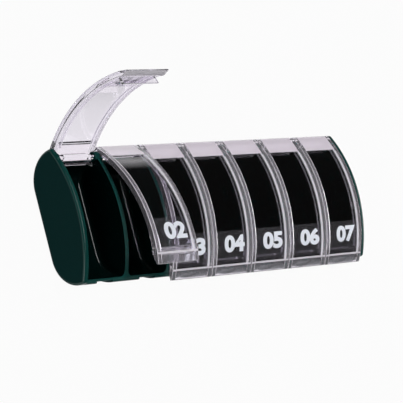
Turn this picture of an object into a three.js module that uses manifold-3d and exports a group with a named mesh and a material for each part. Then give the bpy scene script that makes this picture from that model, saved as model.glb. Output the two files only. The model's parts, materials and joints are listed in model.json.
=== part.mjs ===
// Weekly pill organizer: one moulded tray with seven compartments in a row, and a clear
// hinged lid with a printed film on each. Millimetres, +Z up, the row runs along X.
// The tray stands on its flat floor at Z = 0. The lids hinge along +Y and lift at -Y.
import * as THREE from 'three';
import { mergeVertices } from 'three/addons/utils/BufferGeometryUtils.js';
import Module from 'manifold-3d';

const wasm = await Module();
wasm.setup();

// The row
const compartmentCount = 7;
const pitch = 25;
const endWallThickness = 2.2;
const dividerThickness = 2;

// Outline of the end walls, seen along the row
const floorHalfWidth = 14.95;
const bilgeRadius = 14.25;
const sideFlat = 0.25;
const crownHeight = 22.95;
const shoulderRadius = 1.5;
const endEdgeRadius = 1;

// Walls of the tray between the end walls
const wallThickness = 1.8;
const floorThickness = 1.8;
const rearInset = 4.3;
const lipDrop = 1.25;
const lipEdgeRadius = 0.7;
const floorFillet = 2.5;

// Thumb scoop in the front wall below each lid
const scoopWidth = 9.2;
const scoopDepth = 0.8;
const scoopBottom = 4.6;

// Hinge: a barrel on each lid with a pin at both ends, clipped into hooks on the walls
const barrelRadius = 1.5;
const barrelSetBack = 2.6;
const pinRadius = 0.85;
const pinLength = 2;
const hookThickness = 0.85;
const hookNeckThickness = 1.35;
const hookTipAngle = THREE.MathUtils.degToRad(-65);
const hookRootAngle = THREE.MathUtils.degToRad(214.5);
const hookNeckAngle = THREE.MathUtils.degToRad(150);
const hookCrownAngle = THREE.MathUtils.degToRad(90);

// Lid
const lidGap = 0.4;
const ribWidth = 2.45;
const ribDepth = 2.4;
const windowRecess = 0.8;
const windowThickness = 1.3;
const roofThickness = 1.2;
const landLength = 7.9;
const tailThickness = 1.1;
const tailGap = 0.65;
const tailDrop = 1.5;
const windowEndFromSide = 2;
const ridgeWidth = 0.8;
const flangeOverhang = 2.1;
const flangeTipThickness = 0.65;
const flangeDip = 1.2;
const crossRibWidth = 1.4;
const crossRibSetBack = 2;
const crossRibDepth = 3.2;

// Printed film on the window
const filmThickness = 0.15;
const filmMargin = 0.5;
const filmLength = 13.1;
const filmFromRidge = 0.7;

// Clearances: between resting pieces, at the pins and for the swing of the lid's tail
const restGap = 0.3;
const pinGap = 0.3;
const swingGap = 0.4;

// Pose: how far each lid is open, as a share of its full swing
const openShares = [1, 0.179, 0, 0, 0, 0, 0];

// How far cuts run past the surface, and how far a chord may leave its arc
const overrun = 1;
const chordError = 0.05;

// Outline of the end walls: the crown's arc is the one that runs into both shoulders
const innerHalf = (compartmentCount * pitch) / 2;
const sideY = floorHalfWidth + bilgeRadius;
const shoulderY = sideY - shoulderRadius;
const shoulderZ = bilgeRadius + sideFlat;
const rise = crownHeight - shoulderZ;
const crownRadius = (shoulderY ** 2 + rise ** 2 - shoulderRadius ** 2) / (2 * (rise - shoulderRadius));
const crownZ = crownHeight - crownRadius;
const shoulderAngle = Math.atan2(shoulderZ - crownZ, shoulderY);
const rearBilgeRadius = bilgeRadius - rearInset;
const lipHeight = bilgeRadius - lipDrop;

// Hinge line, and the hook about it
const boreRadius = pinRadius + pinGap;
const hookRadius = boreRadius + hookThickness;
const neckRadius = boreRadius + hookNeckThickness;
const hingeDepth = roofThickness + restGap + hookRadius;
const hingeOrbit = crownRadius - hingeDepth;
const hingeFromSide = tailThickness + tailGap + hookRadius;
const hingeY = sideY - hingeFromSide;
const hingeZ = crownZ + Math.sqrt(hingeOrbit ** 2 - hingeY ** 2);

// Lid
const lidHalf = (pitch - lidGap) / 2;
const windowHalf = lidHalf - ribWidth;
const hookWidth = pitch - 2 * windowHalf - 2 * restGap;
const ribRadius = crownRadius - ribDepth;
const crestRadius = ribRadius - restGap;
const windowRadius = crownRadius - windowRecess;
const undersideRadius = windowRadius - windowThickness;
const landStartY = sideY - landLength;
const tailY = sideY - tailThickness;
const tailBottom = hingeZ - tailDrop;
const sweepRadius = Math.hypot(hingeFromSide, tailDrop) + swingGap;
const ridgeRearY = windowEndFromSide - sideY;
const ridgeFrontY = ridgeRearY - ridgeWidth;
const flangeTipY = -sideY - flangeOverhang;
const flangeBottom = lipHeight + restGap;
const seatY = -Math.sqrt(ribRadius ** 2 - (flangeBottom - crownZ) ** 2);

// Full swing: the inner corner of the tail stops short of the root of the hook
const tailInset = tailY - hingeY;
const cornerRadius = Math.hypot(tailInset, tailDrop);
const cornerAngle = Math.atan2(tailDrop, tailInset);
const fullSwing = 2 * Math.PI - hookRootAngle - cornerAngle - Math.asin(restGap / cornerRadius);
const quarterTurn = Math.PI / 2;

// Points of an arc about (y, z), with steps that keep the chord error
function arc(y, z, radius, from, to) {
  const step = 2 * Math.acos(1 - chordError / radius);
  const count = Math.max(1, Math.ceil(Math.abs(to - from) / step));
  const points = [];
  for (let i = 0; i <= count; i += 1) {
    const angle = from + ((to - from) * i) / count;
    points.push(new THREE.Vector2(y + radius * Math.cos(angle), z + radius * Math.sin(angle)));
  }
  return points;
}

function point(y, z) {
  return new THREE.Vector2(y, z);
}

// Angle about the crown's centre at which a circle of that radius passes Y
function angleAtY(radius, y) {
  return Math.acos(y / radius);
}

function heightAtY(radius, y) {
  return crownZ + Math.sqrt(radius ** 2 - y ** 2);
}

function toSolid(geometry) {
  const bare = geometry.clone();
  bare.deleteAttribute('normal');
  bare.deleteAttribute('uv');
  const merged = mergeVertices(bare);
  const mesh = new wasm.Mesh({
    numProp: 3,
    vertProperties: new Float32Array(merged.attributes.position.array),
    triVerts: new Uint32Array(merged.index.array),
  });
  return new wasm.Manifold(mesh);
}

function toGeometry(solid) {
  const mesh = solid.getMesh();
  const geometry = new THREE.BufferGeometry();
  geometry.setAttribute('position', new THREE.BufferAttribute(mesh.vertProperties, 3));
  geometry.setIndex(new THREE.BufferAttribute(mesh.triVerts, 1));
  geometry.computeVertexNormals();
  return geometry;
}

function roundSteps(radius) {
  return Math.ceil(quarterTurn / (2 * Math.acos(1 - chordError / radius)));
}

// A section in Y and Z run along X, with its ends rounded by edge where that is given
function prism(points, fromX, toX, edge = 0) {
  const settings = { depth: toX - fromX - 2 * edge, bevelEnabled: edge > 0 };
  if (edge > 0) {
    settings.bevelThickness = edge;
    settings.bevelSize = edge;
    settings.bevelOffset = -edge;
    settings.bevelSegments = roundSteps(edge);
  }
  const geometry = new THREE.ExtrudeGeometry(new THREE.Shape(points), settings);
  const alongX = new THREE.Matrix4().makeBasis(
    new THREE.Vector3(0, 1, 0),
    new THREE.Vector3(0, 0, 1),
    new THREE.Vector3(1, 0, 0),
  );
  geometry.applyMatrix4(alongX);
  geometry.translate(fromX + edge, 0, 0);
  return toSolid(geometry);
}

function block(sizeX, sizeY, sizeZ, x, y, z) {
  const geometry = new THREE.BoxGeometry(sizeX, sizeY, sizeZ);
  geometry.translate(x, y, z);
  return toSolid(geometry);
}

function join(solids) {
  return solids.reduce((whole, next) => whole.add(next));
}

function compartmentCentre(index) {
  return (index - (compartmentCount - 1) / 2) * pitch;
}

function boundaryX(index) {
  return index * pitch - innerHalf;
}

// Tray

function endOutline() {
  return [
    ...arc(floorHalfWidth, bilgeRadius, bilgeRadius, -quarterTurn, 0),
    ...arc(shoulderY, shoulderZ, shoulderRadius, 0, shoulderAngle),
    ...arc(0, crownZ, crownRadius, shoulderAngle, Math.PI - shoulderAngle).slice(1, -1),
    ...arc(-shoulderY, shoulderZ, shoulderRadius, Math.PI - shoulderAngle, Math.PI),
    ...arc(-floorHalfWidth, bilgeRadius, bilgeRadius, Math.PI, Math.PI + quarterTurn),
  ];
}

function endWalls() {
  const outer = innerHalf + endWallThickness;
  const bar = prism(endOutline(), -outer, outer, endEdgeRadius);
  const between = block(2 * innerHalf, 4 * sideY, 4 * crownHeight, 0, 0, 0);
  return bar.subtract(between);
}

// Section of the floor, the two long walls and a divider, whose crest follows the lids
function trayOutline() {
  const rearWallY = floorHalfWidth + rearBilgeRadius;
  const crestEnd = Math.PI - Math.asin((lipHeight - crownZ) / crestRadius);
  const lipZ = lipHeight - lipEdgeRadius;
  const lipAngle = Math.PI + Math.asin((bilgeRadius - lipZ) / (bilgeRadius - lipEdgeRadius));
  const lipY = -floorHalfWidth + (bilgeRadius - lipEdgeRadius) * Math.cos(lipAngle);
  return [
    ...arc(floorHalfWidth, rearBilgeRadius, rearBilgeRadius, -quarterTurn, 0),
    ...arc(0, crownZ, crestRadius, angleAtY(crestRadius, rearWallY), crestEnd),
    ...arc(lipY, lipZ, lipEdgeRadius, quarterTurn, lipAngle).slice(0, -1),
    ...arc(-floorHalfWidth, bilgeRadius, bilgeRadius, lipAngle, Math.PI + quarterTurn),
  ];
}

// Space kept free about the hinge line: where the tail swings, round to the root of the
// hook, and the bore where the pins turn
function swingSection() {
  const top = 5 * quarterTurn;
  return [
    ...arc(hingeY, hingeZ, sweepRadius, hookRootAngle, top),
    ...arc(hingeY, hingeZ, boreRadius, top, hookRootAngle + 4 * quarterTurn),
  ];
}

// Faces of the two walls that bound a compartment
function compartmentSides(index) {
  const left = boundaryX(index) + (index === 0 ? 0 : dividerThickness / 2);
  const right = boundaryX(index + 1) - (index === compartmentCount - 1 ? 0 : dividerThickness / 2);
  return { left, right };
}

// Inside of a compartment, open at the top, with rounded corners all round the bottom
function cavity(index) {
  const insideFront = bilgeRadius - wallThickness;
  const insideRear = rearBilgeRadius - wallThickness;
  const top = crownHeight + floorFillet + overrun;
  const frontZ = floorThickness + insideFront;
  const rearZ = floorThickness + insideRear;
  const section = [
    ...arc(floorHalfWidth, rearZ, insideRear, -quarterTurn, 0),
    point(floorHalfWidth + insideRear, top),
    point(-floorHalfWidth - insideFront, top),
    ...arc(-floorHalfWidth, frontZ, insideFront, Math.PI, Math.PI + quarterTurn),
  ];
  const { left, right } = compartmentSides(index);
  return prism(section, left, right, floorFillet);
}

// Space round the hinge line between two walls, where the land and the tail turn
function hingeSpace(index) {
  const { left, right } = compartmentSides(index);
  return prism(arc(hingeY, hingeZ, sweepRadius, 0, 2 * Math.PI).slice(1), left, right);
}

// Shallow scoop for the thumb: an upright slot with a round foot, sunk into the front wall
function scoop(index) {
  const radius = scoopWidth / 2;
  const x = compartmentCentre(index);
  const slot = new THREE.Shape([
    ...arc(x, scoopBottom + radius, radius, Math.PI, 2 * Math.PI),
    point(x + radius, lipHeight + overrun),
    point(x - radius, lipHeight + overrun),
  ]);
  const depth = bilgeRadius + overrun;
  const geometry = new THREE.ExtrudeGeometry(slot, { depth, bevelEnabled: false });
  geometry.rotateX(quarterTurn);
  geometry.translate(0, -floorHalfWidth, 0);
  const kept = [
    ...arc(-floorHalfWidth, bilgeRadius, bilgeRadius - scoopDepth, Math.PI, Math.PI + quarterTurn),
    point(0, scoopDepth),
    point(0, lipHeight + 2 * overrun),
    point(scoopDepth - sideY, lipHeight + 2 * overrun),
  ];
  return toSolid(geometry).subtract(prism(kept, x - scoopWidth, x + scoopWidth));
}

// Outer side of a hook about the hinge line, thicker at its neck, with a clearance round it
function hookOutline(clearance) {
  const outline = [];
  const count = Math.ceil((hookRootAngle - hookTipAngle) / (2 * Math.acos(1 - chordError / hookRadius)));
  for (let i = 0; i <= count; i += 1) {
    const angle = hookTipAngle + ((hookRootAngle - hookTipAngle) * i) / count;
    const swell = THREE.MathUtils.smoothstep(angle, hookCrownAngle, hookNeckAngle);
    const radius = THREE.MathUtils.lerp(hookRadius, neckRadius, swell) + clearance;
    outline.push(point(hingeY + radius * Math.cos(angle), hingeZ + radius * Math.sin(angle)));
  }
  return outline;
}

// Hook that holds the pins: an open ring about the hinge line
function hookSection() {
  return [...hookOutline(0), ...arc(hingeY, hingeZ, boreRadius, hookRootAngle, hookTipAngle)];
}

function hook(index) {
  const x = boundaryX(index);
  const from = index === 0 ? x - overrun : x - hookWidth / 2;
  const to = index === compartmentCount ? x + overrun : x + hookWidth / 2;
  return prism(hookSection(), from, to);
}

function makeTray() {
  const trough = prism(trayOutline(), -innerHalf - overrun, innerHalf + overrun);
  const swing = prism(swingSection(), -innerHalf - 2 * overrun, innerHalf + 2 * overrun);
  let tray = endWalls().add(trough.subtract(swing));
  for (let index = 0; index < compartmentCount; index += 1) {
    tray = tray.subtract(cavity(index)).subtract(hingeSpace(index)).subtract(scoop(index));
  }
  const hooks = [];
  for (let index = 0; index <= compartmentCount; index += 1) {
    hooks.push(hook(index));
  }
  return toGeometry(tray.add(join(hooks)));
}

// Lid, in its closed place over a compartment centred on X = 0

// A band between two radii about the crown's centre, between two places along Y
function band(outerRadius, innerRadius, frontY, rearY, fromX, toX) {
  const section = [
    ...arc(0, crownZ, outerRadius, angleAtY(outerRadius, rearY), angleAtY(outerRadius, frontY)),
    ...arc(0, crownZ, innerRadius, angleAtY(innerRadius, frontY), angleAtY(innerRadius, rearY)),
  ];
  return prism(section, fromX, toX);
}

function lidWindow() {
  const half = windowHalf + ribWidth / 2;
  return band(windowRadius, undersideRadius, seatY, landStartY, -half, half);
}

// Top of the lid from its rear side forward to a place along Y, round the shoulder
function crownFromSide(frontY) {
  return [
    ...arc(shoulderY, shoulderZ, shoulderRadius, 0, shoulderAngle),
    ...arc(0, crownZ, crownRadius, shoulderAngle, angleAtY(crownRadius, frontY)).slice(1),
  ];
}

// Side rib from the seat to the rear side, hollowed out below where it roofs the hook
function lidRib(side) {
  const section = [
    ...crownFromSide(seatY),
    ...arc(0, crownZ, ribRadius, angleAtY(ribRadius, seatY), angleAtY(ribRadius, sideY)),
  ];
  const centre = side * (windowHalf + ribWidth / 2);
  const bar = prism(section, centre - ribWidth / 2, centre + ribWidth / 2);
  return bar.subtract(prism(hookOutline(restGap), centre - ribWidth, centre + ribWidth));
}

// Rear land over the hinge, from the window to the tail
function lidLand() {
  const undersideStart = angleAtY(undersideRadius, landStartY);
  const undersideEnd = angleAtY(undersideRadius, hingeY);
  const section = [
    point(sideY, tailBottom),
    ...crownFromSide(landStartY),
    ...arc(0, crownZ, undersideRadius, undersideStart, undersideEnd),
    point(hingeY, hingeZ),
    point(tailY, heightAtY(crownRadius, tailY) - tailThickness),
    point(tailY, tailBottom),
  ];
  return prism(section, -windowHalf, windowHalf);
}

// Tail along the whole rear edge, which closes the gap behind the hinge
function lidTail() {
  const height = shoulderZ - tailBottom;
  const y = sideY - tailThickness / 2;
  return block(2 * lidHalf, tailThickness, height, 0, y, tailBottom + height / 2);
}

function lidBarrel() {
  const barrel = arc(hingeY, hingeZ, barrelRadius, 0, 2 * Math.PI).slice(1);
  const pin = arc(hingeY, hingeZ, pinRadius, 0, 2 * Math.PI).slice(1);
  const barrelEnd = windowHalf - barrelSetBack;
  const pinEnd = windowHalf + pinLength;
  return prism(barrel, -barrelEnd, barrelEnd).add(prism(pin, -pinEnd, pinEnd));
}

// Front flange that the thumb lifts: a ridge, then a ledge that thins to its tip.
// The ledge dips between the two end blocks, which carry the ribs down to the tip.
function flangeSection(dip) {
  const seat = Math.PI - Math.asin((flangeBottom - crownZ) / ribRadius);
  const stepDown = dip > 0 ? [point(ridgeFrontY, heightAtY(crownRadius, ridgeFrontY) - dip)] : [];
  return [
    ...arc(0, crownZ, crownRadius, angleAtY(crownRadius, ridgeRearY), angleAtY(crownRadius, ridgeFrontY)),
    ...stepDown,
    point(flangeTipY, flangeBottom + flangeTipThickness),
    point(flangeTipY, flangeBottom),
    ...arc(0, crownZ, ribRadius, seat, angleAtY(ribRadius, ridgeRearY)),
  ];
}

function lidFlange() {
  const middle = prism(flangeSection(flangeDip), -windowHalf - ribWidth / 2, windowHalf + ribWidth / 2);
  const blocks = [-1, 1].map((side) => {
    const centre = side * (windowHalf + ribWidth / 2);
    return prism(flangeSection(0), centre - ribWidth / 2, centre + ribWidth / 2);
  });
  return join([middle, ...blocks]);
}

// Deep rib across the underside, which hangs just inside the front wall of the shut tray
function lidCrossRib() {
  const front = ridgeRearY + crossRibSetBack;
  const top = undersideRadius + windowThickness / 2;
  const foot = undersideRadius - crossRibDepth;
  return band(top, foot, front, front + crossRibWidth, -windowHalf, windowHalf);
}

function makeLid() {
  const solid = join([
    lidWindow(),
    lidRib(-1),
    lidRib(1),
    lidLand(),
    lidTail(),
    lidBarrel(),
    lidFlange(),
    lidCrossRib(),
  ]);
  const geometry = toGeometry(solid);
  geometry.translate(0, -hingeY, -hingeZ);
  return geometry;
}

// Printed film that lies in the recess of the window
function makeFilm() {
  const inner = windowRadius + restGap;
  const outer = inner + filmThickness;
  const front = ridgeRearY + filmFromRidge;
  const half = windowHalf - filmMargin;
  const geometry = toGeometry(band(outer, inner, front, front + filmLength, -half, half));
  geometry.translate(0, -hingeY, -hingeZ);
  return geometry;
}

// Materials

function greenPlastic() {
  return new THREE.MeshStandardMaterial({ color: 0x0f2b2a, roughness: 0.38, metalness: 0 });
}

function clearPlastic() {
  return new THREE.MeshStandardMaterial({
    color: 0xe6e1ea,
    roughness: 0.08,
    metalness: 0,
    transparent: true,
    opacity: 0.35,
  });
}

function printedFilm() {
  return new THREE.MeshStandardMaterial({
    color: 0xf4f4f8,
    roughness: 0.45,
    metalness: 0,
    transparent: true,
    opacity: 0.5,
  });
}

function named(name, geometry, material) {
  const mesh = new THREE.Mesh(geometry, material);
  mesh.name = name;
  return mesh;
}

// A lid with its film, turned about its hinge line by its opening angle
function lidAssembly(index, lidGeometry, filmGeometry) {
  const hinge = new THREE.Group();
  hinge.position.set(compartmentCentre(index), hingeY, hingeZ);
  hinge.rotation.x = -fullSwing * openShares[index];
  hinge.add(named(`lid_${index + 1}`, lidGeometry, clearPlastic()));
  hinge.add(named(`label_film_${index + 1}`, filmGeometry, printedFilm()));
  return hinge;
}

const organizer = new THREE.Group();
organizer.name = 'weekly_pill_organizer';
organizer.add(named('tray', makeTray(), greenPlastic()));
const lidGeometry = makeLid();
const filmGeometry = makeFilm();
for (let index = 0; index < compartmentCount; index += 1) {
  organizer.add(lidAssembly(index, lidGeometry, filmGeometry));
}

export default organizer;
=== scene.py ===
import json
import math

import bmesh
import bpy
from mathutils import Matrix, Vector


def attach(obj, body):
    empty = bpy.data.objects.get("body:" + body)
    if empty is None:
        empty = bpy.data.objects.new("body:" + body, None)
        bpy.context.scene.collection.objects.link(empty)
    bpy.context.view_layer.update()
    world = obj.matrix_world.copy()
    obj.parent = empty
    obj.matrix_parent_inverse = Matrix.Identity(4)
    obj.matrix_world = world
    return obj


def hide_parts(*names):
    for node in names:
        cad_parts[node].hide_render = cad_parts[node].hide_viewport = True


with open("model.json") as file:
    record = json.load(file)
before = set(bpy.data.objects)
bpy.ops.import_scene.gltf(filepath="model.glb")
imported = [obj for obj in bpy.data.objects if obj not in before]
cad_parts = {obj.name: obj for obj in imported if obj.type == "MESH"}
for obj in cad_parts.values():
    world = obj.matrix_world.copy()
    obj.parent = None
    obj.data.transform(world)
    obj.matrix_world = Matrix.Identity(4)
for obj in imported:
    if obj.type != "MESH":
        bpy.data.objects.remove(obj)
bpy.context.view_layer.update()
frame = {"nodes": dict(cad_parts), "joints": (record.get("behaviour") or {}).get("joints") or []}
collection = bpy.context.scene.collection
mm = 0.001
print("frame loaded:", len(frame["nodes"]), "nodes")

# Sizes below are in millimetres. The section is drawn in Y and Z, the row runs along X.
row = {"compartments": 7, "pitch": 25.0, "endWall": 2.2, "divider": 2.0}
ends = {
    "floorHalf": 14.95,
    "bilge": 14.25,
    "sideFlat": 0.25,
    "height": 22.95,
    "shoulder": 1.5,
    "edge": 1.0,
    "edgeSteps": 5,
}
# How finely round stretches are drawn: an arc above the large radius takes the small step
fine = {
    "largeRadius": 20.0,
    "arcStep": math.radians(2.0),
    "roundStep": math.radians(15.0),
    "bilgeStep": math.radians(4.0),
    "cavityStep": math.radians(5.0),
    "swingStep": math.radians(6.0),
    "scoopStep": math.radians(3.0),
    "hookSteps": 30,
    "smallSteps": 2,
}
# How far a cutter runs past what it cuts, and a joined part into its neighbour
overrun = 1.0

sideY = ends["floorHalf"] + ends["bilge"]
shoulderY = sideY - ends["shoulder"]
shoulderZ = ends["bilge"] + ends["sideFlat"]
rise = ends["height"] - shoulderZ
crownRadius = (shoulderY ** 2 + rise ** 2 - ends["shoulder"] ** 2) / (2 * (rise - ends["shoulder"]))
crownZ = ends["height"] - crownRadius
shoulderAngle = math.atan2(shoulderZ - crownZ, shoulderY)
rowHalf = row["compartments"] * row["pitch"] / 2
quarter = math.pi / 2
full = 2 * math.pi

hinges = [j for j in frame["joints"] if j["type"] == "hinge"]
hingeY = hinges[0]["pos_m"][1] / mm
hingeZ = hinges[0]["pos_m"][2] / mm


# Section helpers

def arc(y, z, radius, start, end, step=None):
    if step is None:
        step = fine["arcStep"] if radius > fine["largeRadius"] else fine["roundStep"]
    count = max(2, math.ceil(abs(end - start) / step))
    turns = [start + (end - start) * i / count for i in range(count + 1)]
    return [(y + radius * math.cos(t), z + radius * math.sin(t)) for t in turns]


def atY(radius, y):
    return math.acos(y / radius)


def heightAt(radius, y):
    return crownZ + math.sqrt(radius ** 2 - y ** 2)


def crownArc(radius, rearY, frontY):
    return arc(0, crownZ, radius, atY(radius, rearY), atY(radius, frontY))


# Which corners of a section are rounded, and how much of a side a round may take.
# The mitre limit keeps a sharp corner from shooting off when the section is drawn in.
corners = {
    "steps": 3,
    "sharpest": 0.01,
    "flattest": math.radians(150),
    "sideShare": 0.45,
    "mitreLimit": 0.4,
}


def rounded(points, radius):
    # Rounds the sharp corners of a section and leaves its arcs as they are
    result = []
    for i, corner in enumerate(points):
        here = Vector(corner)
        back = Vector(points[i - 1]) - here
        ahead = Vector(points[(i + 1) % len(points)]) - here
        between = back.angle(ahead)
        if not corners["sharpest"] < between < corners["flattest"]:
            result.append(corner)
            continue
        room = corners["sideShare"] * min(back.length, ahead.length)
        reach = min(radius / math.tan(between / 2), room)
        first = here + back.normalized() * reach
        last = here + ahead.normalized() * reach
        for k in range(corners["steps"] + 1):
            t = k / corners["steps"]
            bend = (1 - t) ** 2 * first + 2 * t * (1 - t) * here + t ** 2 * last
            result.append((bend.x, bend.y))
    return result


def turnsLeft(points):
    area = 0
    for (y0, z0), (y1, z1) in zip(points, points[1:] + points[:1]):
        area += y0 * z1 - y1 * z0
    return area > 0


def inset(points, distance):
    # Moves each side of a section inwards, where the section runs anticlockwise
    result = []
    for i, corner in enumerate(points):
        here = Vector(corner)
        before = (here - Vector(points[i - 1])).normalized()
        after = (Vector(points[(i + 1) % len(points)]) - here).normalized()
        one = Vector((-before.y, before.x))
        two = Vector((-after.y, after.x))
        along = (one + two) / max(corners["mitreLimit"], 1 + one.dot(two))
        moved = here + along * distance
        result.append((moved.x, moved.y))
    return result


# Mesh helpers

def newObject(name, mesh):
    made = bpy.data.objects.new(name, mesh)
    collection.objects.link(made)
    return made


def meshFrom(name, vertices, faces):
    mesh = bpy.data.meshes.new(name)
    mesh.from_pydata([Vector(v) * mm for v in vertices], [], faces)
    shell = bmesh.new()
    shell.from_mesh(mesh)
    bmesh.ops.recalc_face_normals(shell, faces=shell.faces)
    shell.to_mesh(mesh)
    shell.free()
    return newObject(name, mesh)


def roundEnds(fromX, toX, edge, steps):
    # Places along X with how far the section is drawn in there
    turns = [quarter * k / steps for k in range(steps + 1)]
    first = [(fromX + edge * (1 - math.sin(t)), edge * (1 - math.cos(t))) for t in turns[::-1]]
    return first + [(toX - edge * (1 - math.sin(t)), edge * (1 - math.cos(t))) for t in turns]


def prism(name, points, fromX, toX, edge=0.0, steps=fine["smallSteps"]):
    # A section run along X, its two ends rounded by edge
    if edge > 0:
        return loft(name, points, roundEnds(fromX, toX, edge, steps))
    return loft(name, points, [(fromX, 0), (toX, 0)])


def loft(name, points, stations):
    # The section at each place along X, joined to the next and closed at both ends
    if not turnsLeft(points):
        points = points[::-1]
    rings = [(x, inset(points, drawnIn) if drawnIn else points) for x, drawnIn in stations]
    count = len(points)
    vertices = [(x, y, z) for x, ring in rings for y, z in ring]
    faces = [tuple(range(count))[::-1], tuple(range((len(rings) - 1) * count, len(rings) * count))]
    for r in range(len(rings) - 1):
        for i in range(count):
            j = (i + 1) % count
            faces.append((r * count + i, r * count + j, (r + 1) * count + j, (r + 1) * count + i))
    return meshFrom(name, vertices, faces)


def evaluatedMesh(made):
    bpy.context.view_layer.update()
    graph = bpy.context.evaluated_depsgraph_get()
    return bpy.data.meshes.new_from_object(made.evaluated_get(graph), depsgraph=graph)


def plainMesh(made):
    # The evaluated shape becomes the object's own mesh, and every modifier is taken off
    mesh = evaluatedMesh(made)
    made.modifiers.clear()
    made.data = mesh
    return made


def drop(parts):
    for part in parts:
        bpy.data.objects.remove(part)


def combine(base, parts, operation):
    for part in parts:
        step = base.modifiers.new(part.name, "BOOLEAN")
        step.operation = operation
        step.solver = "MANIFOLD"
        step.object = part
    plainMesh(base)
    drop(parts)
    return base


# What counts as one point, a sliver, a flat joint and a crease when a mesh is cleaned
clean = {
    "merge": 0.002,
    "sliver": 0.001,
    "flat": math.radians(0.3),
    "crease": math.radians(32.0),
    "wideFaceWeight": 90,
}


def finish(made):
    # Joins coplanar faces, then smooths across the arcs and keeps the creases
    shell = bmesh.new()
    shell.from_mesh(made.data)
    bmesh.ops.remove_doubles(shell, verts=shell.verts, dist=clean["merge"] * mm)
    bmesh.ops.dissolve_degenerate(shell, edges=shell.edges, dist=clean["sliver"] * mm)
    bmesh.ops.dissolve_limit(shell, angle_limit=clean["flat"], verts=shell.verts, edges=shell.edges)
    bmesh.ops.delete(shell, geom=[e for e in shell.edges if not e.link_faces], context="EDGES")
    bmesh.ops.recalc_face_normals(shell, faces=shell.faces)
    shell.to_mesh(made.data)
    shell.free()
    for face in made.data.polygons:
        face.use_smooth = True
    made.data.set_sharp_from_angle(angle=clean["crease"])
    # Wide faces keep their own normals and only the narrow rounds between them blend
    step = made.modifiers.new("wideFacesFirst", "WEIGHTED_NORMAL")
    step.mode = "FACE_AREA"
    step.weight = clean["wideFaceWeight"]
    step.keep_sharp = True
    return plainMesh(made)


def dress(made, materials, share):
    # Cleans the mesh and gives each face the material that share picks for it
    made.data.materials.clear()
    for material in materials:
        made.data.materials.append(material)
    finish(made)
    for face in made.data.polygons:
        face.material_index = share(face)
    return made


# Materials

def linear(hexColour):
    parts = [int(hexColour[i:i + 2], 16) / 255 for i in (1, 3, 5)]
    return [p / 12.92 if p <= 0.04045 else ((p + 0.055) / 1.055) ** 2.4 for p in parts] + [1.0]


def addNode(tree, kind, values=None, links=None, **settings):
    node = tree.nodes.new(kind)
    for name, value in settings.items():
        setattr(node, name, value)
    for name, value in (values or {}).items():
        node.inputs[name].default_value = value
    for name, socket in (links or {}).items():
        tree.links.new(socket, node.inputs[name])
    return node


def mouldedMaterial(name, values, grain):
    # A moulded surface: fine grain in millimetres drives the gloss and a faint relief
    material = bpy.data.materials.new(name)
    material.use_nodes = True
    tree = material.node_tree
    shader = tree.nodes["Principled BSDF"]
    for socket, value in values.items():
        shader.inputs[socket].default_value = value
    place = addNode(tree, "ShaderNodeTexCoord")
    speckle = addNode(
        tree,
        "ShaderNodeTexNoise",
        {"Scale": 1 / (grain["size"] * mm), "Detail": 3.0, "Roughness": 0.55},
        {"Vector": place.outputs["Object"]},
    )
    gloss = addNode(
        tree,
        "ShaderNodeMapRange",
        {"To Min": grain["glossLow"], "To Max": grain["glossHigh"]},
        {"Value": speckle.outputs["Fac"]},
    )
    relief = addNode(
        tree,
        "ShaderNodeBump",
        {"Strength": grain["strength"], "Distance": grain["depth"] * mm},
        {"Height": speckle.outputs["Fac"]},
    )
    tree.links.new(gloss.outputs["Result"], shader.inputs["Roughness"])
    tree.links.new(relief.outputs["Normal"], shader.inputs["Normal"])
    return material


def clearFromInside(material):
    # Only the outer skin carries the painted light of the milky looks: light that is inside the wall
    # leaves it freely
    tree = material.node_tree
    skin = tree.nodes["Principled BSDF"].inputs["Transmission Weight"]
    side = addNode(tree, "ShaderNodeNewGeometry")
    share = addNode(
        tree,
        "ShaderNodeMapRange",
        {"To Min": skin.default_value, "To Max": 1.0},
        {"Value": side.outputs["Backfacing"]},
    )
    tree.links.new(share.outputs["Result"], skin)


# Moulded polypropylene, mass-coloured dark green: a soft satin with a fine spark-eroded grain
greenPolypropylene = mouldedMaterial(
    "greenMouldedPolypropylene",
    {"Base Color": linear("#063231"), "IOR": 1.49, "Specular IOR Level": 0.03},
    {"size": 0.5, "glossLow": 0.34, "glossHigh": 0.46, "strength": 0.25, "depth": 0.02},
)
# Rims and crests, rounded and thin: a lighter, glossier teal that draws their outline, painted light
# for the light that falls on their up-facing tops
paintedLightRimPolypropylene = mouldedMaterial(
    "greenPaintedLightRimPolypropylene",
    {"Base Color": linear("#0A3F3B"), "IOR": 1.49, "Specular IOR Level": 0.3},
    {"size": 0.5, "glossLow": 0.2, "glossHigh": 0.3, "strength": 0.1, "depth": 0.01},
)
# The compartments leave a polished core, glossy there; the same green is painted almost black there
# as painted shade
paintedShadePolypropylene = mouldedMaterial(
    "greenPaintedShadePolypropylene",
    {"Base Color": linear("#01100F"), "IOR": 1.49, "Specular IOR Level": 0.3},
    {"size": 0.8, "glossLow": 0.1, "glossHigh": 0.18, "strength": 0.08, "depth": 0.01},
)
# Crystal polystyrene, moulded in a polished tool: glass-like, with a faint lavender cast
clearStyrene = mouldedMaterial(
    "clearMouldedPolystyrene",
    {"Base Color": linear("#F6F2FA"), "IOR": 1.59, "Transmission Weight": 1.0},
    {"size": 3.0, "glossLow": 0.0, "glossHigh": 0.03, "strength": 0.05, "depth": 0.02},
)
# The same polystyrene where the wall is thick: a little milky, painted light that stands in for the
# light the thick wall gathers
paintedLightThickStyrene = mouldedMaterial(
    "thickPolystyrenePaintedLight",
    {"Base Color": linear("#F1ECF6"), "IOR": 1.59, "Transmission Weight": 0.82},
    {"size": 2.0, "glossLow": 0.03, "glossHigh": 0.1, "strength": 0.08, "depth": 0.02},
)
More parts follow.
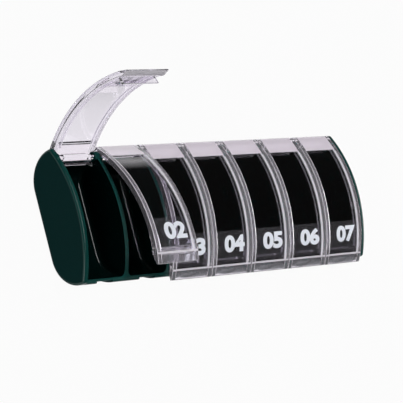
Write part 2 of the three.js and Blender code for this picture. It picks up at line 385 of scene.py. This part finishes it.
# The roof over the hinge is thickest: painted a nearly opaque pale lavender, painted light for what
# is seen through it, so it reads as a pale lavender bar
paintedLightRoofStyrene = mouldedMaterial(
    "roofPolystyrenePaintedLight",
    {"Base Color": linear("#FBF1FD"), "IOR": 1.59, "Transmission Weight": 0.1},
    {"size": 2.0, "glossLow": 0.05, "glossHigh": 0.12, "strength": 0.08, "depth": 0.02},
)
# The chamfered and rounded edges of the lid: painted highlights, a half milky white that draws thin
# white lines
edgeGrain = {"size": 1.0, "glossLow": 0.08, "glossHigh": 0.16, "strength": 0.05, "depth": 0.02}
paintedHighlightEdgeStyrene = mouldedMaterial(
    "polystyreneEdgePaintedHighlight",
    {"Base Color": linear("#F6F1FA"), "IOR": 1.59, "Transmission Weight": 0.2},
    edgeGrain,
)
# The bead at the foot of the inner lip has a painted glow, a faint emission for the light the rib
# gathers
paintedGlowBeadStyrene = mouldedMaterial(
    "polystyreneBeadPaintedGlow",
    {
        "Base Color": linear("#F6F1FA"),
        "IOR": 1.59,
        "Transmission Weight": 0.2,
        "Emission Color": linear("#F1F0F8"),
        "Emission Strength": 0.35,
    },
    edgeGrain,
)
# Cast polyester film: thin and clear, with a slight haze that lifts the black below it
polyesterFilm = mouldedMaterial(
    "castPolyesterFilm",
    {"Base Color": linear("#E9E6EE"), "IOR": 1.2, "Transmission Weight": 0.97},
    {"size": 1.5, "glossLow": 0.02, "glossHigh": 0.08, "strength": 0.03, "depth": 0.01},
)
# Screen-printed white ink: opaque and matt
whiteInk = mouldedMaterial(
    "screenPrintedWhiteInk",
    {"Base Color": linear("#EDF1FA"), "IOR": 1.5, "Specular IOR Level": 0.3},
    {"size": 0.3, "glossLow": 0.4, "glossHigh": 0.55, "strength": 0.1, "depth": 0.01},
)
# The painted-light looks are milky only on their outer skin
for paintedLightLook in (paintedLightThickStyrene, paintedLightRoofStyrene, paintedHighlightEdgeStyrene):
    clearFromInside(paintedLightLook)
print("materials made")


# Geometry Nodes

def newTree(name, inputs):
    tree = bpy.data.node_groups.new(name, "GeometryNodeTree")
    tree.interface.new_socket("Geometry", in_out="OUTPUT", socket_type="NodeSocketGeometry")
    tree.interface.new_socket("Geometry", in_out="INPUT", socket_type="NodeSocketGeometry")
    for label, kind in inputs.items():
        tree.interface.new_socket(label, in_out="INPUT", socket_type="NodeSocket" + kind)
    return tree, addNode(tree, "NodeGroupInput")


def endTree(tree, shape, material):
    # Instances become real geometry and get their material
    whole = addNode(tree, "GeometryNodeRealizeInstances", links={"Geometry": shape})
    painted = addNode(
        tree,
        "GeometryNodeSetMaterial",
        links={"Geometry": whole.outputs["Geometry"], "Material": material},
    )
    addNode(tree, "NodeGroupOutput", links={"Geometry": painted.outputs["Geometry"]})


def runTree(tree, made, values):
    step = made.modifiers.new(tree.name, "NODES")
    step.node_group = tree
    for item in tree.interface.items_tree:
        if item.in_out == "INPUT" and item.name in values:
            step[item.identifier] = values[item.name]
    return plainMesh(made)


# Copies of one shape at equal steps along the row, the first where the shape stands
rowInputs = {"Copies": "Int", "Pitch": "Float", "Material": "Material"}
rowOfCopies, given = newTree("rowOfCopies", rowInputs)
stepAlong = addNode(rowOfCopies, "ShaderNodeCombineXYZ", links={"X": given.outputs["Pitch"]})
places = addNode(
    rowOfCopies,
    "GeometryNodeMeshLine",
    links={"Count": given.outputs["Copies"], "Offset": stepAlong.outputs["Vector"]},
)
copies = addNode(
    rowOfCopies,
    "GeometryNodeInstanceOnPoints",
    links={"Points": places.outputs["Mesh"], "Instance": given.outputs["Geometry"]},
)
endTree(rowOfCopies, copies.outputs["Instances"], given.outputs["Material"])

# A strip with rounded corners swept along an arc about the crown's centre
stripInputs = {
    "Radius": "Float",
    "Start": "Float",
    "Sweep": "Float",
    "Width": "Float",
    "Thickness": "Float",
    "Corner": "Float",
    "Steps": "Int",
    "Crown Height": "Float",
    "Material": "Material",
}
crownStrip, given = newTree("crownStrip", stripInputs)
path = addNode(
    crownStrip,
    "GeometryNodeCurveArc",
    links={
        "Resolution": given.outputs["Steps"],
        "Radius": given.outputs["Radius"],
        "Start Angle": given.outputs["Start"],
        "Sweep Angle": given.outputs["Sweep"],
    },
)
stripSection = addNode(
    crownStrip,
    "GeometryNodeCurvePrimitiveQuadrilateral",
    links={"Width": given.outputs["Thickness"], "Height": given.outputs["Width"]},
)
softSection = addNode(
    crownStrip,
    "GeometryNodeFilletCurve",
    {"Count": 2},
    {"Curve": stripSection.outputs["Curve"], "Radius": given.outputs["Corner"]},
    mode="POLY",
)
swept = addNode(
    crownStrip,
    "GeometryNodeCurveToMesh",
    {"Fill Caps": True},
    {"Curve": path.outputs["Curve"], "Profile Curve": softSection.outputs["Curve"]},
)
lift = addNode(crownStrip, "ShaderNodeCombineXYZ", links={"Z": given.outputs["Crown Height"]})
upright = addNode(
    crownStrip,
    "GeometryNodeTransform",
    {"Rotation": (quarter, 0, quarter)},
    {"Geometry": swept.outputs["Mesh"], "Translation": lift.outputs["Vector"]},
)
endTree(crownStrip, upright.outputs["Geometry"], given.outputs["Material"])


def copyAlongRow(shape, copiesWanted):
    return runTree(
        rowOfCopies,
        shape,
        {"Copies": copiesWanted, "Pitch": row["pitch"] * mm, "Material": greenPolypropylene},
    )


def sweepStrip(name, outer, inner, frontY, rearY, width, corner, material):
    start = atY(outer, rearY)
    sweep = atY(outer, frontY) - start
    strip = runTree(
        crownStrip,
        newObject(name, bpy.data.meshes.new(name)),
        {
            "Radius": (outer + inner) / 2 * mm,
            "Start": start,
            "Sweep": sweep,
            "Width": width * mm,
            "Thickness": (outer - inner) * mm,
            "Corner": corner * mm,
            "Steps": math.ceil(sweep / fine["arcStep"]),
            "Crown Height": crownZ * mm,
            "Material": material,
        },
    )
    # The caps come loose from the sweep, so their points are merged with it
    shell = bmesh.new()
    shell.from_mesh(strip.data)
    bmesh.ops.remove_doubles(shell, verts=shell.verts, dist=clean["sliver"] * mm)
    bmesh.ops.recalc_face_normals(shell, faces=shell.faces)
    shell.to_mesh(strip.data)
    shell.free()
    return strip


# Hinge: what the tray and the lids share
hinge = {
    "barrel": 1.5,
    "barrelSetBack": 2.6,
    "pin": 0.85,
    "pinLength": 2.0,
    "pinGap": 0.3,
    "hook": 0.85,
    "hookNeck": 1.35,
    "tipAngle": math.radians(-65),
    "rootAngle": math.radians(214.5),
    "neckAngle": math.radians(150),
    "crownAngle": math.radians(90),
    "restGap": 0.3,
    "swingGap": 0.4,
}
# Lid: the tray's crests and hinge spaces follow these sizes, so they stand before the tray
lid = {
    "gap": 0.4,
    "rib": 2.45,
    "ribDepth": 2.4,
    "ribEdge": 0.3,
    "ribEdgeSteps": 3,
    "chamferWidth": 0.5,
    "chamferDepth": 0.1,
    "lipDepth": 3.2,
    "lipWidth": 0.5,
    "lipBite": 0.06,
    "lipPastLand": 0.5,
    "bead": 0.6,
    "beadExtraWidth": 0.1,
    "beadRound": 0.1,
    "recess": 0.8,
    "pane": 1.3,
    "paneRound": 0.1,
    "paneEndFromSide": 2.0,
    "land": 7.9,
    "landBite": 0.05,
    "tail": 1.1,
    "tailDrop": 1.5,
    "tailRound": 0.15,
    "rodRound": 0.2,
    "ridge": 0.8,
    "overhang": 2.1,
    "tip": 0.65,
    "dip": 1.2,
    "ledgeRound": 0.2,
    "flangeRound": 0.25,
    "flangeSteps": 3,
    "crossRib": 1.4,
    "crossRibSetBack": 2.0,
    "crossRibDepth": 3.2,
    "crossRibBite": 0.1,
    "crossRibRound": 0.15,
}
bore = hinge["pin"] + hinge["pinGap"]
hookRadius = bore + hinge["hook"]
lidHalf = (row["pitch"] - lid["gap"]) / 2
paneHalf = lidHalf - lid["rib"]
hookWidth = row["pitch"] - 2 * paneHalf - 2 * hinge["restGap"]
ribRadius = crownRadius - lid["ribDepth"]
paneRadius = crownRadius - lid["recess"]
underRadius = paneRadius - lid["pane"]
tailY = sideY - lid["tail"]
tailBottom = hingeZ - lid["tailDrop"]
sweepRadius = math.hypot(sideY - hingeY, lid["tailDrop"]) + hinge["swingGap"]


def smoothStep(value, start, end):
    t = min(1, max(0, (value - start) / (end - start)))
    return t * t * (3 - 2 * t)


def hookOutline(clearance):
    # The outside of a hook from its tip over the top to its root, swelling into the neck
    outline = []
    count = fine["hookSteps"]
    for i in range(count + 1):
        angle = hinge["tipAngle"] + (hinge["rootAngle"] - hinge["tipAngle"]) * i / count
        swell = smoothStep(angle, hinge["crownAngle"], hinge["neckAngle"])
        radius = hookRadius + (hinge["hookNeck"] - hinge["hook"]) * swell + clearance
        outline.append((hingeY + radius * math.cos(angle), hingeZ + radius * math.sin(angle)))
    return outline


# Tray
tray = {
    "wall": 1.8,
    "floor": 1.8,
    "rearInset": 4.3,
    "lipDrop": 1.25,
    "lipEdge": 0.7,
    "floorFillet": 2.5,
    "filletSteps": 8,
    "scoopWidth": 9.2,
    "scoopDepth": 0.8,
    "scoopBottom": 4.6,
    "hookEdge": 0.2,
    "clearBelow": -20.0,
    "clearAbove": 60.0,
}
rearBilge = ends["bilge"] - tray["rearInset"]
lipHeight = ends["bilge"] - tray["lipDrop"]
crestRadius = ribRadius - hinge["restGap"]


def endSection():
    bilge, half, shoulder = ends["bilge"], ends["floorHalf"], ends["shoulder"]
    step = fine["bilgeStep"]
    return (
        arc(half, bilge, bilge, -quarter, 0, step)
        + arc(shoulderY, shoulderZ, shoulder, 0, shoulderAngle)
        + arc(0, crownZ, crownRadius, shoulderAngle, math.pi - shoulderAngle)[1:-1]
        + arc(-shoulderY, shoulderZ, shoulder, math.pi - shoulderAngle, math.pi)
        + arc(-half, bilge, bilge, math.pi, math.pi + quarter, step)
    )


def troughSection():
    bilge, half, lipEdge = ends["bilge"], ends["floorHalf"], tray["lipEdge"]
    step = fine["bilgeStep"]
    crestEnd = math.pi - math.asin((lipHeight - crownZ) / crestRadius)
    lipZ = lipHeight - lipEdge
    lipAngle = math.pi + math.asin((bilge - lipZ) / (bilge - lipEdge))
    lipY = -half + (bilge - lipEdge) * math.cos(lipAngle)
    return (
        arc(half, rearBilge, rearBilge, -quarter, 0, step)
        + arc(0, crownZ, crestRadius, atY(crestRadius, half + rearBilge), crestEnd)
        + arc(lipY, lipZ, lipEdge, quarter, lipAngle)[:-1]
        + arc(-half, bilge, bilge, lipAngle, math.pi + quarter, step)
    )


def swingSection():
    # Cut about the hinge: the sweep of the lid's tail, and only the bore where the hooks root
    top = 5 * quarter
    outer = arc(hingeY, hingeZ, sweepRadius, hinge["rootAngle"], top, fine["swingStep"])
    return outer + arc(hingeY, hingeZ, bore, top, hinge["rootAngle"] + full)


def cavity(name, left, right):
    front = ends["bilge"] - tray["wall"]
    rear = rearBilge - tray["wall"]
    half = ends["floorHalf"]
    step = fine["cavityStep"]
    top = ends["height"] + tray["floorFillet"] + overrun
    section = (
        arc(half, tray["floor"] + rear, rear, -quarter, 0, step)
        + [(half + rear, top), (-half - front, top)]
        + arc(-half, tray["floor"] + front, front, math.pi, math.pi + quarter, step)
    )
    return prism(name, section, left, right, tray["floorFillet"], tray["filletSteps"])


def hingeSpace(name, left, right):
    section = arc(hingeY, hingeZ, sweepRadius, 0, full, fine["swingStep"])[1:]
    return prism(name, section, left, right)


def scoop(name, x):
    # A thumb slot, cut only to its depth into the outside of the front wall
    half, bilge = ends["floorHalf"], ends["bilge"]
    depth, width = tray["scoopDepth"], tray["scoopWidth"]
    radius = width / 2
    slot = arc(x, tray["scoopBottom"] + radius, radius, math.pi, full)
    slot += [(x + radius, lipHeight + overrun), (x - radius, lipHeight + overrun)]
    count = len(slot)
    vertices = [(a, -half, b) for a, b in slot]
    vertices += [(a, -half - bilge - overrun, b) for a, b in slot]
    faces = [tuple(range(count)), tuple(range(count, 2 * count))[::-1]]
    for i in range(count):
        j = (i + 1) % count
        faces.append((i, i + count, j + count, j))
    cutter = meshFrom(name, vertices, faces)
    top = lipHeight + 2 * overrun
    kept = arc(-half, bilge, bilge - depth, math.pi, math.pi + quarter, fine["scoopStep"])
    kept += [(0, depth), (0, top), (depth - sideY, top)]
    return combine(cutter, [prism(name + "Kept", kept, x - width, x + width)], "DIFFERENCE")


def hook(name, fromX, toX, edge=0.0):
    section = hookOutline(0) + arc(hingeY, hingeZ, bore, hinge["rootAngle"], hinge["tipAngle"])
    return prism(name, section, fromX, toX, edge)


# How the tray's faces are told apart: slack in millimetres, and how far up they face
trayFaces = {"slack": 0.02, "endRimUp": -0.2, "crestUp": 0.3}


def inCompartment(place):
    # True for the middle of a face that lines a compartment, which gets the painted shade; false for
    # rims and outsides
    x, y, z = place / mm
    half, bilge, pitch = ends["floorHalf"], ends["bilge"], row["pitch"]
    midWall, slack = tray["wall"] / 2, trayFaces["slack"]
    toDivider = abs((x + rowHalf + pitch / 2) % pitch - pitch / 2)
    onDivider = toDivider < row["divider"] / 2 - slack and abs(x) < rowHalf - pitch / 2
    if abs(x) > rowHalf + slack or onDivider or z > heightAt(crestRadius, y) - slack:
        return False
    if y < -half:
        return math.hypot(y + half, z - bilge) < bilge - midWall
    if y > half and z > rearBilge:
        return y < half + rearBilge - midWall
    if y > half:
        return math.hypot(y - half, z - rearBilge) < rearBilge - midWall
    return z > tray["floor"] / 2


def trayShare(face):
    # Which of the three looks of the green plastic a face has: outside, compartment with painted
    # shade, and rim with painted light
    outside, compartment, rim = range(3)
    if inCompartment(face.center):
        return compartment
    x, up, slack = abs(face.center.x) / mm, face.normal.z, trayFaces["slack"]
    onEnd = rowHalf + slack < x < rowHalf + row["endWall"] - slack
    # Up-facing rims and crests get the lighter green: painted light
    if onEnd and up > trayFaces["endRimUp"]:
        return rim
    return rim if x < rowHalf + slack and up > trayFaces["crestUp"] else outside


def makeTray():
    outer = rowHalf + row["endWall"]
    bar = prism("tray", endSection(), -outer, outer, ends["edge"], ends["edgeSteps"])
    # All between the end walls goes, and the trough takes its place
    side, low, high = 2 * sideY, tray["clearBelow"], tray["clearAbove"]
    box = [(-side, low), (side, low), (side, high), (-side, high)]
    combine(bar, [prism("between", box, -rowHalf, rowHalf)], "DIFFERENCE")
    reach = rowHalf + overrun
    trough = prism("trough", troughSection(), -reach, reach)
    swing = prism("swing", swingSection(), -reach - overrun, reach + overrun)
    combine(trough, [swing], "DIFFERENCE")
    combine(bar, [trough], "UNION")

    # The compartments at both ends reach the end walls, and the inner ones repeat
    first, last = -rowHalf, rowHalf
    pitch, half = row["pitch"], row["divider"] / 2
    cuts = [
        cavity("firstCavity", first, first + pitch - half),
        cavity("lastCavity", last - pitch + half, last),
        hingeSpace("firstHingeSpace", first, first + pitch - half),
        hingeSpace("lastHingeSpace", last - pitch + half, last),
    ]
    innerCuts = [
        cavity("innerCavities", first + pitch + half, first + 2 * pitch - half),
        hingeSpace("innerHingeSpaces", first + pitch + half, first + 2 * pitch - half),
    ]
    cuts += [copyAlongRow(cut, row["compartments"] - 2) for cut in innerCuts]
    cuts.append(copyAlongRow(scoop("scoops", first + pitch / 2), row["compartments"]))
    combine(bar, cuts, "DIFFERENCE")

    # Whole hooks stand on the dividers and half hooks on the end walls
    reach = hookWidth / 2
    innerHook = hook("innerHooks", first + pitch - reach, first + pitch + reach, tray["hookEdge"])
    hooks = [
        hook("firstHook", first - overrun, first + reach),
        hook("lastHook", last - reach, last + overrun),
        copyAlongRow(innerHook, row["compartments"] - 1),
    ]
    combine(bar, hooks, "UNION")
    bar.name = "mouldedTray"
    return dress(bar, (greenPolypropylene, paintedShadePolypropylene, paintedLightRimPolypropylene), trayShare)


trayPiece = makeTray()
print("tray made:", len(trayPiece.data.polygons), "faces")


# Lid, in its shut place over a compartment centred on X = 0

def crownFromSide(frontY):
    shoulder = arc(shoulderY, shoulderZ, ends["shoulder"], 0, shoulderAngle)
    return shoulder + arc(0, crownZ, crownRadius, shoulderAngle, atY(crownRadius, frontY))[1:]


seatZ = lipHeight + hinge["restGap"]
seatY = -math.sqrt(ribRadius ** 2 - (seatZ - crownZ) ** 2)
ridgeRearY = lid["paneEndFromSide"] - sideY
ridgeFrontY = ridgeRearY - lid["ridge"]
crossRibY = ridgeRearY + lid["crossRibSetBack"]
tipY = -sideY - lid["overhang"]
landStartY = sideY - lid["land"]


def lidRib(side):
    # Chamfered towards the pane and rounded towards the next lid
    section = crownFromSide(seatY)
    section += arc(0, crownZ, ribRadius, atY(ribRadius, seatY), atY(ribRadius, sideY))
    steps = lid["ribEdgeSteps"]
    stations = [(paneHalf, lid["chamferDepth"]), (paneHalf + lid["chamferWidth"], 0)]
    stations += roundEnds(paneHalf, lidHalf, lid["ribEdge"], steps)[steps + 1:]
    if side < 0:
        stations = [(-x, drawnIn) for x, drawnIn in stations[::-1]]
    bar = loft("rib", section, stations)
    centre = side * (paneHalf + lid["rib"] / 2)
    roofed = hookOutline(hinge["restGap"])
    pocket = prism("pocket", roofed, centre - lid["rib"], centre + lid["rib"])
    return combine(bar, [pocket], "DIFFERENCE")


def lidLip(side):
    # Thin lip that hangs inside the compartment, with a bead along its foot
    foot = crownRadius - lid["lipDepth"]
    rearY = landStartY + lid["lipPastLand"]
    width, wider = lid["lipWidth"], lid["lipWidth"] + lid["beadExtraWidth"]
    strips = [
        ("lip", underRadius + lid["pane"] / 2, foot + lid["bead"] / 2, width, 0),
        ("bead", foot + lid["bead"], foot, wider, lid["beadRound"]),
    ]
    made = []
    for name, outer, inner, across, corner in strips:
        strip = sweepStrip(name, outer, inner, crossRibY, rearY, across, corner, clearStyrene)
        centre = paneHalf + lid["lipBite"] - lid["lipWidth"] / 2
        strip.data.transform(Matrix.Translation((side * centre * mm, 0, 0)))
        made.append(strip)
    return made


def lidLand():
    # The solid stretch behind the pane, down to the hinge line and the tail
    section = [(sideY, tailBottom)]
    section += crownFromSide(landStartY)
    section += arc(0, crownZ, underRadius, atY(underRadius, landStartY), atY(underRadius, hingeY))
    innerZ = heightAt(crownRadius, tailY) - lid["tail"]
    section += [(hingeY, hingeZ), (tailY, innerZ), (tailY, tailBottom)]
    return prism("land", section, -paneHalf - lid["landBite"], paneHalf + lid["landBite"])


def lidTail():
    section = [(tailY, tailBottom), (sideY, tailBottom), (sideY, shoulderZ), (tailY, shoulderZ)]
    return prism("tail", section, -lidHalf, lidHalf, lid["tailRound"])


def rod(name, radius, reach):
    return prism(name, arc(hingeY, hingeZ, radius, 0, full)[1:], -reach, reach, lid["rodRound"])


def flangeSection(dip):
    # The ridge in front of the pane and the flange below it, dished by dip between the ribs
    seat = math.pi - math.asin((seatZ - crownZ) / ribRadius)
    section = crownArc(crownRadius, ridgeRearY, ridgeFrontY)
    if dip > 0:
        section.append((ridgeFrontY, heightAt(crownRadius, ridgeFrontY) - dip))
    section += [(tipY, seatZ + lid["tip"]), (tipY, seatZ)]
    return section + arc(0, crownZ, ribRadius, seat, atY(ribRadius, ridgeRearY))


def flangeBlock(side):
    centre = side * (paneHalf + lid["rib"] / 2)
    reach, edge = lid["rib"] / 2, lid["flangeRound"]
    section = rounded(flangeSection(0), edge)
    return prism("flangeBlock", section, centre - reach, centre + reach, edge, lid["flangeSteps"])


def crossRib():
    rear = crossRibY + lid["crossRib"]
    top = underRadius + lid["pane"] / 2
    foot = underRadius - lid["crossRibDepth"]
    section = crownArc(top, rear, crossRibY)
    section += arc(0, crownZ, foot, atY(foot, crossRibY), atY(foot, rear))
    reach = paneHalf + lid["crossRibBite"]
    return prism("crossRib", rounded(section, lid["crossRibRound"]), -reach, reach)


# How the lid's faces are told apart: slack in millimetres, and how far their normals lean
lidFaces = {
    "slack": 0.05,
    "roofDepth": 0.1,
    "edgeUp": 0.3,
    "ridgeUp": 0.5,
    "flangeDown": -0.9,
    "chamferSide": 0.1,
    "beadSide": 0.7,
}


def lidShare(face):
    # Which of the five looks of the clear plastic a face has, by where it lies: clear, and four with
    # painted light (thick, roof, edge highlight, bead glow)
    clear, thick, roof, edge, bead = range(5)
    x, y, z = abs(face.center.x) / mm, face.center.y / mm, face.center.z / mm
    up, sideways, slack = face.normal.z, abs(face.normal.x), lidFaces["slack"]
    depth = crownRadius - math.hypot(y, z - crownZ)
    lipReach = lid["lipWidth"] + lid["beadExtraWidth"]
    beadDeep = -slack < lid["lipDepth"] - depth < lid["bead"] + slack
    if beadDeep and x < paneHalf + lid["beadExtraWidth"] + slack:
        onBead = x > paneHalf - lipReach and crossRibY < y < landStartY
        facesIn = face.normal.x * face.center.x < 0 and sideways > lidFaces["beadSide"]
        return bead if onBead and facesIn else clear
    if x < paneHalf + lid["chamferWidth"] and depth < lid["chamferDepth"] + slack and y < landStartY:
        leans = up > lidFaces["edgeUp"] and sideways > lidFaces["chamferSide"]
        onRidge = y < ridgeRearY + slack and up > lidFaces["ridgeUp"]
        if (x > paneHalf - slack and leans) or onRidge:
            return edge
    if x < paneHalf and y > landStartY - slack:
        return roof if depth < lidFaces["roofDepth"] and up > 0 else clear
    onRibEdge = x > lidHalf - lid["ribEdge"] and depth < lid["ribEdge"] and up > lidFaces["edgeUp"]
    if onRibEdge or (y < ridgeRearY and up < lidFaces["flangeDown"]):
        return edge
    return thick if x > paneHalf - slack or y < ridgeRearY + slack else clear


def makeLid():
    across = 2 * paneHalf + lid["rib"]
    pane = sweepStrip(
        "lidShape",
        paneRadius,
        underRadius,
        seatY,
        landStartY,
        across,
        lid["paneRound"],
        clearStyrene,
    )
    middle = rounded(flangeSection(lid["dip"]), lid["ledgeRound"])
    parts = [
        lidRib(-1),
        lidRib(1),
        lidLand(),
        lidTail(),
        rod("barrel", hinge["barrel"], paneHalf - hinge["barrelSetBack"]),
        rod("pins", hinge["pin"], paneHalf + hinge["pinLength"]),
        prism("ledge", middle, -across / 2, across / 2),
        flangeBlock(-1),
        flangeBlock(1),
        crossRib(),
    ]
    parts += lidLip(-1) + lidLip(1)
    combine(pane, parts, "UNION")
    return dress(pane, (clearStyrene, paintedLightThickStyrene, paintedLightRoofStyrene, paintedHighlightEdgeStyrene, paintedGlowBeadStyrene), lidShare)


lidShape = makeLid()
print("lid made:", len(lidShape.data.polygons), "faces")

# Film in the recess of the pane
film = {"thickness": 0.15, "margin": 0.5, "length": 13.1, "fromRidge": 0.7, "round": 0.02}
filmInner = paneRadius + hinge["restGap"]
filmOuter = filmInner + film["thickness"]


def makeFilm():
    front = ridgeRearY + film["fromRidge"]
    strip = sweepStrip(
        "filmShape",
        filmOuter,
        filmInner,
        front,
        front + film["length"],
        2 * (paneHalf - film["margin"]),
        film["round"],
        polyesterFilm,
    )
    return finish(strip)


# Number printed on the film. Bold and merge are in the font's own units.
number = {
    "left": -5.05,
    "right": 7.9,
    "top": -15.4,
    "bottom": -22.5,
    "thickness": 0.04,
    "cutStep": 0.6,
    "curveSteps": 6,
    "bold": 0.05,
    "merge": 1e-5,
}


def flatNumber(index):
    curve = bpy.data.curves.new("number", "FONT")
    curve.body = "%02d" % index
    curve.offset = number["bold"]
    curve.resolution_u = number["curveSteps"]
    flat = newObject("number", curve)
    mesh = evaluatedMesh(flat)
    drop([flat])
    return mesh


def makeNumber(index):
    # Stretches the digits to the print's place, cuts them across, raises them and bends them
    mesh = flatNumber(index)
    shell = bmesh.new()
    shell.from_mesh(mesh)
    bmesh.ops.remove_doubles(shell, verts=shell.verts, dist=number["merge"])
    low = [min(v.co[k] for v in shell.verts) for k in (0, 1)]
    high = [max(v.co[k] for v in shell.verts) for k in (0, 1)]
    radius = filmOuter
    fromAngle, toAngle = atY(radius, number["bottom"]), atY(radius, number["top"])
    arcLength = (fromAngle - toAngle) * radius
    for vertex in shell.verts:
        across = (vertex.co.x - low[0]) / (high[0] - low[0])
        up = (vertex.co.y - low[1]) / (high[1] - low[1])
        vertex.co = (number["left"] + across * (number["right"] - number["left"]), up * arcLength, 0)
    for k in range(1, int(arcLength / number["cutStep"]) + 1):
        bmesh.ops.bisect_plane(
            shell,
            geom=shell.verts[:] + shell.edges[:] + shell.faces[:],
            plane_co=(0, k * number["cutStep"], 0),
            plane_no=(0, 1, 0),
        )
    raised = bmesh.ops.extrude_face_region(shell, geom=shell.faces[:])
    for item in raised["geom"]:
        if isinstance(item, bmesh.types.BMVert):
            item.co.z = number["thickness"]
    for vertex in shell.verts:
        angle = fromAngle - vertex.co.y / radius
        reach = radius + vertex.co.z
        place = Vector((vertex.co.x, reach * math.cos(angle), crownZ + reach * math.sin(angle)))
        vertex.co = place * mm
    bmesh.ops.recalc_face_normals(shell, faces=shell.faces)
    shell.to_mesh(mesh)
    shell.free()
    return finish(newObject("number", mesh))


filmShape = makeFilm()


def placed(shape, name, body, node=None):
    # A copy over its compartment, turned to the lid's rest pose about the joint in the frame
    joint = [j for j in hinges if j["child"] == body][0]
    opening = -joint["range_deg"][0]
    centre = Vector(joint["pos_m"])
    turn = Matrix.Rotation(math.radians(-opening), 4, "X")
    move = Matrix.Translation(centre) @ turn @ Matrix.Translation(-Vector((0, centre.y, centre.z)))
    mesh = shape.data.copy()
    mesh.transform(move)
    piece = newObject(name, mesh)
    if node:
        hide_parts(node)
    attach(piece, body)
    return piece


for index in range(1, row["compartments"] + 1):
    body = "lid_%d_body" % index
    piece = placed(lidShape, "clearLid_%d" % index, body, "lid_%d" % index)
    piece = placed(filmShape, "film_%d" % index, body, "label_film_%d" % index)
    digits = makeNumber(index)
    digits.data.materials.append(whiteInk)
    piece = placed(digits, "printedNumber_%d" % index, body)
    drop([digits])
drop([lidShape, filmShape])
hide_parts("tray")
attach(trayPiece, "tray_body")
for node in frame["nodes"].values():
    node.data.materials.clear()
    node.data.materials.append(greenPolypropylene if node.name == "tray" else clearStyrene)
print("lids, films and numbers placed")

# Floor: white to the camera, to reflections and through clear parts, and grey to diffuse light
paper = bpy.data.materials.new("whitePaperSweep")
paper.use_nodes = True
tree = paper.node_tree
tree.nodes.clear()
seen = addNode(tree, "ShaderNodeLightPath")
through = addNode(
    tree,
    "ShaderNodeMath",
    links={0: seen.outputs["Is Camera Ray"], 1: seen.outputs["Is Transmission Ray"]},
    operation="MAXIMUM",
)
either = addNode(
    tree,
    "ShaderNodeMath",
    links={0: through.outputs[0], 1: seen.outputs["Is Glossy Ray"]},
    operation="MAXIMUM",
)
share = addNode(tree, "ShaderNodeMath", {1: 0.96}, {0: either.outputs[0]}, operation="MULTIPLY")
matt = addNode(tree, "ShaderNodeBsdfDiffuse", {"Color": (0.3, 0.3, 0.3, 1)})
glow = addNode(tree, "ShaderNodeEmission", {"Strength": 1.0})
blend = addNode(
    tree,
    "ShaderNodeMixShader",
    links={0: share.outputs[0], 1: matt.outputs["BSDF"], 2: glow.outputs["Emission"]},
)
addNode(tree, "ShaderNodeOutputMaterial", links={"Surface": blend.outputs[0]})
paperHalf = 6000
paperCorners = [(x * paperHalf, y * paperHalf, 0) for x, y in ((-1, -1), (1, -1), (1, 1), (-1, 1))]
floor = meshFrom("floor", paperCorners, [(0, 1, 2, 3)])
floor.data.materials.append(paper)

# Room: white to the camera, and to the object a pale horizon under a dark ceiling
world = bpy.data.worlds.new("room")
bpy.context.scene.world = world
world.use_nodes = True
tree = world.node_tree
tree.nodes.clear()
direction = addNode(tree, "ShaderNodeTexCoord")
height = addNode(tree, "ShaderNodeSeparateXYZ", links={"Vector": direction.outputs["Generated"]})
horizon = addNode(
    tree,
    "ShaderNodeMapRange",
    {"From Min": 0.0, "From Max": 0.12, "To Min": 1.0, "To Max": 0.0},
    {"Value": height.outputs["Z"]},
)
seen = addNode(tree, "ShaderNodeLightPath")
notDiffuse = addNode(
    tree,
    "ShaderNodeMath",
    {0: 1.0},
    {1: seen.outputs["Is Diffuse Ray"]},
    operation="SUBTRACT",
)
shownHorizon = addNode(
    tree,
    "ShaderNodeMath",
    links={0: horizon.outputs["Result"], 1: notDiffuse.outputs[0]},
    operation="MULTIPLY",
)
white = addNode(
    tree,
    "ShaderNodeMath",
    links={0: seen.outputs["Is Camera Ray"], 1: shownHorizon.outputs[0]},
    operation="MAXIMUM",
)
dim = addNode(tree, "ShaderNodeBackground", {"Color": (1, 1, 1, 1), "Strength": 0.02})
bright = addNode(tree, "ShaderNodeBackground", {"Color": (1, 1, 1, 1), "Strength": 1.0})
blend = addNode(
    tree,
    "ShaderNodeMixShader",
    links={0: white.outputs[0], 1: dim.outputs[0], 2: bright.outputs[0]},
)
addNode(tree, "ShaderNodeOutputWorld", links={"Surface": blend.outputs[0]})

# Softboxes that face the object. Places and sizes of lamps and camera are in metres.
lamps = {
    "overhead": {"at": (-0.02, 0.15, 1.0), "size": (0.1, 0.9), "power": 6},
    "leftFill": {"at": (-1.1, -0.5, 0.5), "size": (0.5, 0.5), "power": 4},
    "rightStrip": {"at": (1.3, -0.05, 0.42), "size": (0.6, 0.25), "power": 10},
}
for name, box in lamps.items():
    light = bpy.data.lights.new(name, "AREA")
    light.shape = "RECTANGLE"
    light.size, light.size_y = box["size"]
    light.energy = box["power"]
    lamp = newObject(name, light)
    lamp.location = box["at"]
    lamp.rotation_euler = (-Vector(box["at"])).to_track_quat("-Z", "Y").to_euler()

# Camera, as fitted to the photograph
shot = {
    "lens": 228.738,
    "sensor": 36,
    "near": 0.01,
    "far": 50,
    "at": (-0.817156, -0.189526, 0.756646),
    "turn": (24.2233, -43.1436, -20.0301),
}
camera = bpy.data.cameras.new("camera")
camera.lens = shot["lens"]
camera.sensor_width = shot["sensor"]
camera.clip_start, camera.clip_end = shot["near"], shot["far"]
view = newObject("camera", camera)
view.location = shot["at"]
view.rotation_euler = [math.radians(angle) for angle in shot["turn"]]
bpy.context.scene.camera = view
bpy.context.scene.view_settings.view_transform = "Standard"
print("stage set")
